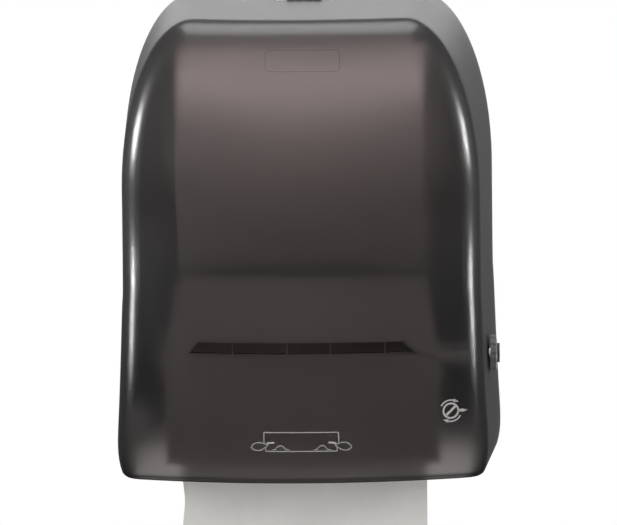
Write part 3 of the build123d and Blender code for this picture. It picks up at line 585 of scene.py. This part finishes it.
def even_steps(line, step):
    """The line in even steps of about the given length, and its whole length."""
    lengths = [0.0]
    for first, second in zip(line, line[1:]):
        lengths.append(lengths[-1] + math.dist(first, second))
    count = int(lengths[-1] / step)
    points = []
    index = 0
    for number in range(count + 1):
        at = lengths[-1] * number / count
        while index < len(line) - 2 and lengths[index + 1] < at:
            index += 1
        share = (at - lengths[index]) / (lengths[index + 1] - lengths[index])
        points.append(tuple(a + (b - a) * share for a, b in zip(line[index], line[index + 1])))
    return points, lengths[-1]


sheet_line, sheet_length = even_steps(sheet_path(), sheet_step)


# Waves of the sheet's free end: depth in metres, count across half the width, phase, and drift downwards
sheet_waves = ((0.0016, 2.2, 0.7, 0.0), (0.0009, 7.0, 1.1, 14.0))
wave_start = lip_centre.z - 6.0 * MM
edge_cupping = 2.2 * MM
pull_reach = 2.2 * MM
pull_height = -222.0 * MM
pull_spread = 16.0 * MM


def sheet_place(x, y, z):
    """Where a point of the sheet lies, with the small waves and the drawn-in edge of its free end."""
    hang = max(0.0, wave_start - z) / (lip_centre.z - sheet_foot)
    across = x / sheet_half_width
    y += hang * sum(depth * math.sin(count * across + phase + drift * hang)
                    for depth, count, phase, drift in sheet_waves)
    y += hang * hang * edge_cupping * across * across
    pull = pull_reach * math.exp(-((z - pull_height) / pull_spread) ** 2)
    return Vector((x + pull * max(0.0, -across) ** 3, y, z))


def build_sheet(shape):
    columns = 136
    rows = []
    last = len(sheet_line) - 1
    for number, (y, z) in enumerate(sheet_line):
        following = sheet_line[min(number + 1, last)]
        previous = sheet_line[max(number - 1, 0)]
        run = Vector((0, following[0] - previous[0], following[1] - previous[1])).normalized()
        side = SIDEWAYS.cross(run) * sheet_thickness / 2
        row = []
        for column in range(columns + 1):
            x = sheet_half_width * (2 * column / columns - 1)
            tooth = abs(((x / cut_pitch) % 1.0) - 0.5) * 2 if number == last else 0.0
            middle = sheet_place(x, y, z + cut_depth * tooth)
            row.append((shape.verts.new(middle + side), shape.verts.new(middle - side)))
        rows.append(row)
    for first, second in zip(rows, rows[1:]):
        for column in range(columns):
            for face in (0, 1):
                corners = (first[column][face], first[column + 1][face],
                           second[column + 1][face], second[column][face])
                shape.faces.new(corners if face else tuple(reversed(corners)))
    for column in range(columns):
        for row in (rows[0], rows[-1]):
            shape.faces.new((row[column][0], row[column + 1][0], row[column + 1][1], row[column][1]))
    for first, second in zip(rows, rows[1:]):
        for column in (0, columns):
            shape.faces.new((first[column][0], second[column][0], second[column][1], first[column][1]))


paper_sheet = mesh_piece("paper_sheet", build_sheet, "sheet_paper", "module", smooth_angle=60)
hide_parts("towel_sheet")


# Signs on the hood: thin printed lines and patches of generic shapes

cover_mesh = frame["nodes"]["cover"].data
cover_tree = BVHTree.FromPolygons(
    [vertex.co.copy() for vertex in cover_mesh.vertices],
    [tuple(polygon.vertices) for polygon in cover_mesh.polygons],
)
ray_start = -1.0
decal_lift = 0.12 * MM


def printed(shape, x, z):
    """A vertex just above the hood's outer front skin at (x, z)."""
    hit, out = cover_tree.ray_cast(Vector((x, ray_start, z)), Vector((0, 1, 0)))[:2]
    return shape.verts.new(hit + out * decal_lift)


def ribbon(shape, points, width, closed=False):
    """A printed line of the given width through points given in (x, z)."""
    count = len(points)
    pairs = []
    for number, point in enumerate(points):
        before = points[number - 1] if number or closed else point
        after = points[(number + 1) % count] if number < count - 1 or closed else point
        run = Vector((after[0] - before[0], after[1] - before[1])).normalized()
        normal = Vector((-run.y, run.x)) * width / 2
        pairs.append([
            printed(shape, point[0] + side * normal.x, point[1] + side * normal.y) for side in (1, -1)
        ])
    following = pairs[1:] + pairs[:1] if closed else pairs[1:]
    for first, second in zip(pairs, following):
        shape.faces.new((first[0], second[0], second[1], first[1]))


def patch(shape, points):
    """A filled printed shape with its outline given in (x, z)."""
    middle = (sum(p[0] for p in points) / len(points), sum(p[1] for p in points) / len(points))
    centre = printed(shape, *middle)
    rim = [printed(shape, *point) for point in points]
    for first, second in zip(rim, rim[1:] + rim[:1]):
        shape.faces.new((centre, first, second))


def line_points(start, end, steps):
    return [(start[0] + (end[0] - start[0]) * n / steps, start[1] + (end[1] - start[1]) * n / steps)
            for n in range(steps + 1)]


def circle_points(centre, radius, start=0.0, turn=360.0, steps=48):
    """Points of an arc or a circle, with start and turn in degrees."""
    return [on_circle(centre, radius, math.radians(start + turn * n / steps)) for n in range(steps + 1)]


def arrow_head(centre, direction, size):
    """The corners of a small triangle that points along direction, in degrees."""
    corners = ((0, 1.0), (140, 0.8), (220, 0.8))
    return [on_circle(centre, size * share, math.radians(direction + turn)) for turn, share in corners]


def build_knob_mark(shape):
    """A round knob with a bar across it, an arrow round its top, one round its foot, and two outwards."""
    centre = Vector((0.1222, -0.1422))
    radius = 6.0 * MM
    ring_width = 1.5 * MM
    bar_share = 0.85
    bar = Vector((0.72, 0.69)) * radius * bar_share
    bar_width = 2.0 * MM
    sweep_radius = radius + 2.8 * MM
    sweep_turn = -88
    sweep_width = 1.1 * MM
    head_lean = 8
    head_size = 2.9 * MM
    outward_size = 3.1 * MM
    ribbon(shape, circle_points(centre, radius)[:-1], ring_width, closed=True)
    ribbon(shape, line_points(centre - bar, centre + bar, steps=8), bar_width)
    for start in (152, -28):
        sweep = circle_points(centre, sweep_radius, start=start, turn=sweep_turn, steps=26)
        tangent = start + sweep_turn - 90
        ribbon(shape, sweep, sweep_width)
        patch(shape, arrow_head(sweep[-1], tangent + head_lean, head_size))
    for reach in (7.6 * MM, 10.4 * MM):
        patch(shape, arrow_head((centre.x + reach, centre.y), 0, outward_size))


def leaf_points(tail, tip, height):
    """The outline of a mitten seen from above: round at its tail, narrow towards its tip."""
    steps = 14
    fullness = 0.75
    run = Vector(tip) - Vector(tail)
    across = Vector((-run.y, run.x)).normalized()
    upper = []
    lower = []
    for number in range(steps + 1):
        share = number / steps
        swell = math.sin(math.pi * share ** fullness) * height / 2
        middle = Vector(tail) + run * share
        upper.append(tuple(middle + across * swell))
        lower.append(tuple(middle - across * swell))
    return upper + lower[-2:0:-1]


def torn_points(left, right, z):
    """The towel's torn end, with small uneven teeth."""
    steps = 58
    depth = 0.45 * MM
    tooth_turn = 2.1
    swell_turn = 0.37
    swell_phase = 1.0
    return [
        (left + (right - left) * n / steps,
         z + depth * math.sin(tooth_turn * n) * math.sin(swell_turn * n + swell_phase))
        for n in range(steps + 1)
    ]


def thumb_points(edge, side, z):
    """A thumb's line, which swells between two flat ends."""
    steps = 20
    near = 6.5 * MM
    length = 14.0 * MM
    swell = 3.4 * MM
    swell_start = 0.22
    swell_span = 0.56
    fullness = 0.6
    points = []
    for number in range(steps + 1):
        share = number / steps
        arch = max(0.0, math.sin(math.pi * min(max((share - swell_start) / swell_span, 0.0), 1.0)))
        points.append((edge - side * (near + length * share), z + swell * arch ** fullness))
    return points


def build_towel_mark(shape):
    """A hanging towel with a torn end, held at both lower corners by mittened hands."""
    centre = Vector((0.0006, -0.1644))
    half = 30.5 * MM
    height = 15.6 * MM
    width = 0.62 * MM
    finger_width = 1.5 * MM
    hand_height = 6.6 * MM
    inset = 1.4 * MM
    top = centre.y + height / 2
    low = centre.y - height / 2
    hand_z = low + 4.6 * MM
    left = centre.x - half
    right = centre.x + half
    ribbon(shape, line_points((left, top), (right, top), steps=40), width)
    ribbon(shape, torn_points(left + inset, right - inset, low), width)
    for side in (-1, 1):
        edge = centre.x + side * half
        inner = edge - side * inset
        tail = (edge + side * 10.5 * MM, hand_z - 1.4 * MM)
        tip = (edge - side * 3.4 * MM, hand_z + 0.6 * MM)
        knuckle = (edge - side * 2.2 * MM, hand_z + 2.2 * MM)
        fingertip = (edge - side * 8.4 * MM, hand_z + 2.7 * MM)
        ribbon(shape, line_points((edge, top), (edge, hand_z + 2.6 * MM), steps=8), width)
        ribbon(shape, line_points((inner, hand_z - 0.6 * MM), (inner, low), steps=5), width)
        ribbon(shape, leaf_points(tail, tip, hand_height), width, closed=True)
        ribbon(shape, line_points(knuckle, fingertip, steps=6), finger_width)
        ribbon(shape, thumb_points(edge, side, hand_z - 3.2 * MM), width)


def build_window_mark(shape):
    """A faint round-cornered frame, high on the hood."""
    centre = Vector((0.0042, 0.1467))
    half = Vector((30.2, 8.6)) * MM
    corner = 3.0 * MM
    width = 0.4 * MM
    corners = [
        circle_points((centre.x + x * (half.x - corner), centre.y + z * (half.y - corner)), corner,
                      start=start, turn=90, steps=8)
        for start, x, z in ((0, 1, 1), (90, -1, 1), (180, -1, -1), (270, 1, -1))
    ]
    points = []
    for first, second in zip(corners, corners[1:] + corners[:1]):
        points += first + line_points(first[-1], second[0], steps=16)[1:-1]
    ribbon(shape, points, width, closed=True)


for mark_name, build_mark, ink_name in (
    ("knob_pictogram", build_knob_mark, "decal_ink"),
    ("towel_pictogram", build_towel_mark, "decal_ink"),
    ("window_frame", build_window_mark, "faint_line"),
):
    mesh_piece(mark_name, build_mark, "smoked_cover", "hood", finish=inks[ink_name])


# Stage: camera, lights, world and floor

def aimed(direction):
    """The turn of a camera or a lamp that looks along direction."""
    return direction.to_track_quat("-Z", "Y")


def add_camera():
    """A long lens a little above and right of the front. A metre at its aim covers pixels_per_metre."""
    aim = Vector((-0.0006, 0.0, -0.0408))
    azimuth = math.radians(2.0)
    elevation = math.radians(5.5)
    roll = math.radians(0.55)
    distance = 7.2
    pixels_per_metre = 1187.5
    picture_width = 617
    sensor = 36.0
    data = bpy.data.cameras.new("camera")
    data.sensor_width = sensor
    data.lens = pixels_per_metre * sensor * distance / picture_width
    data.clip_start = 0.5
    data.clip_end = 60.0
    camera = bpy.data.objects.new("camera", data)
    bpy.context.collection.objects.link(camera)
    back = Vector((math.sin(azimuth) * math.cos(elevation), -math.cos(azimuth) * math.cos(elevation),
                   math.sin(elevation)))
    camera.location = aim + back * distance
    camera.rotation_mode = "QUATERNION"
    camera.rotation_quaternion = aimed(-back) @ Quaternion((0, 0, 1), -roll)
    bpy.context.scene.camera = camera


def area_light(name, place, target, size, power, spread=180.0, unseen_by=()):
    """A rectangular soft lamp of width and height size, aimed at target, unseen by some kinds of ray."""
    data = bpy.data.lights.new(name, "AREA")
    data.shape = "RECTANGLE"
    data.size, data.size_y = size
    data.energy = power
    data.spread = math.radians(spread)
    light = bpy.data.objects.new(name, data)
    light.location = place
    light.rotation_mode = "QUATERNION"
    light.rotation_quaternion = aimed(Vector(target) - Vector(place))
    bpy.context.collection.objects.link(light)
    for kind in unseen_by:
        setattr(light, "visible_" + kind, False)
    return light


def add_lights():
    """Two lamps for the whole, one that acts only on see-through plastic, four for the hood's highlights."""
    area_light("top_light", (0.0, -0.45, 1.5), (0, -0.12, 0.1), (1.6, 1.1), 27.0, unseen_by=["glossy"])
    area_light("front_light", (-0.3, -2.6, 0.9), (0, -0.1, 0.0), (1.4, 1.4), 24.0, unseen_by=["glossy"])
    area_light("inner_light", (0.0, -1.0, 1.3), (0, -0.12, 0.05), (1.6, 1.0), 80.0,
               unseen_by=["diffuse", "glossy"])
    hood_skin = bpy.data.collections.new("hood_skin")
    hood_skin.objects.link(frame["nodes"]["cover"])
    highlights = (
        ("roof_light", (0.0, 0.0, 1.5), (0, -0.2, 0.16), (1.6, 1.3), 190.0, 180.0),
        ("rear_light", (0.0, 2.0, 0.57), (0, -0.1, 0.18), (1.6, 0.6), 34.0, 180.0),
        ("edge_light", (-1.34, -0.3, 0.06), (-0.14, -0.2, 0.1), (0.5, 0.28), 3.3, 20.0),
        ("edge_light", (1.34, -0.2, 0.06), (0.14, -0.2, 0.1), (0.5, 0.28), 2.4, 20.0),
    )
    for name, place, target, size, power, spread in highlights:
        light = area_light(name, place, target, size, power, spread,
                           unseen_by=["camera", "diffuse", "transmission"])
        light.light_linking.receiver_collection = hood_skin


def add_world():
    """A soft world that looks white to the camera, in reflections and through see-through plastic."""
    soft_strength = 0.36
    world = bpy.data.worlds.new("world")
    bpy.context.scene.world = world
    world.use_nodes = True
    nodes = world.node_tree.nodes
    links = world.node_tree.links
    soft = nodes["Background"]
    white = nodes.new("ShaderNodeBackground")
    for background, strength in ((soft, soft_strength), (white, 1.0)):
        background.inputs["Color"].default_value = WHITE
        background.inputs["Strength"].default_value = strength
    rays = nodes.new("ShaderNodeLightPath")
    shown = rays.outputs["Is Camera Ray"]
    for kind in ("Is Glossy Ray", "Is Transmission Ray"):
        either = nodes.new("ShaderNodeMath")
        either.operation = "MAXIMUM"
        links.new(shown, either.inputs[0])
        links.new(rays.outputs[kind], either.inputs[1])
        shown = either.outputs["Value"]
    mix = nodes.new("ShaderNodeMixShader")
    links.new(shown, mix.inputs["Fac"])
    links.new(soft.outputs["Background"], mix.inputs[1])
    links.new(white.outputs["Background"], mix.inputs[2])
    links.new(mix.outputs["Shader"], nodes["World Output"].inputs["Surface"])


def add_floor():
    """A plain pale floor, a metre below the frame's origin."""
    mesh = bpy.data.meshes.new("floor")
    shape = bmesh.new()
    bmesh.ops.create_circle(shape, cap_ends=True, radius=3.0, segments=96)
    shape.to_mesh(mesh)
    shape.free()
    floor = bpy.data.objects.new("floor", mesh)
    floor.location = (0, -0.2, -1.0)
    bpy.context.collection.objects.link(floor)
    mesh.materials.append(Shader("floor_finish", (0.86, 0.86, 0.86), roughness=0.8).material)


add_camera()
add_lights()
add_world()
add_floor()
bpy.context.scene.view_settings.view_transform = "Standard"
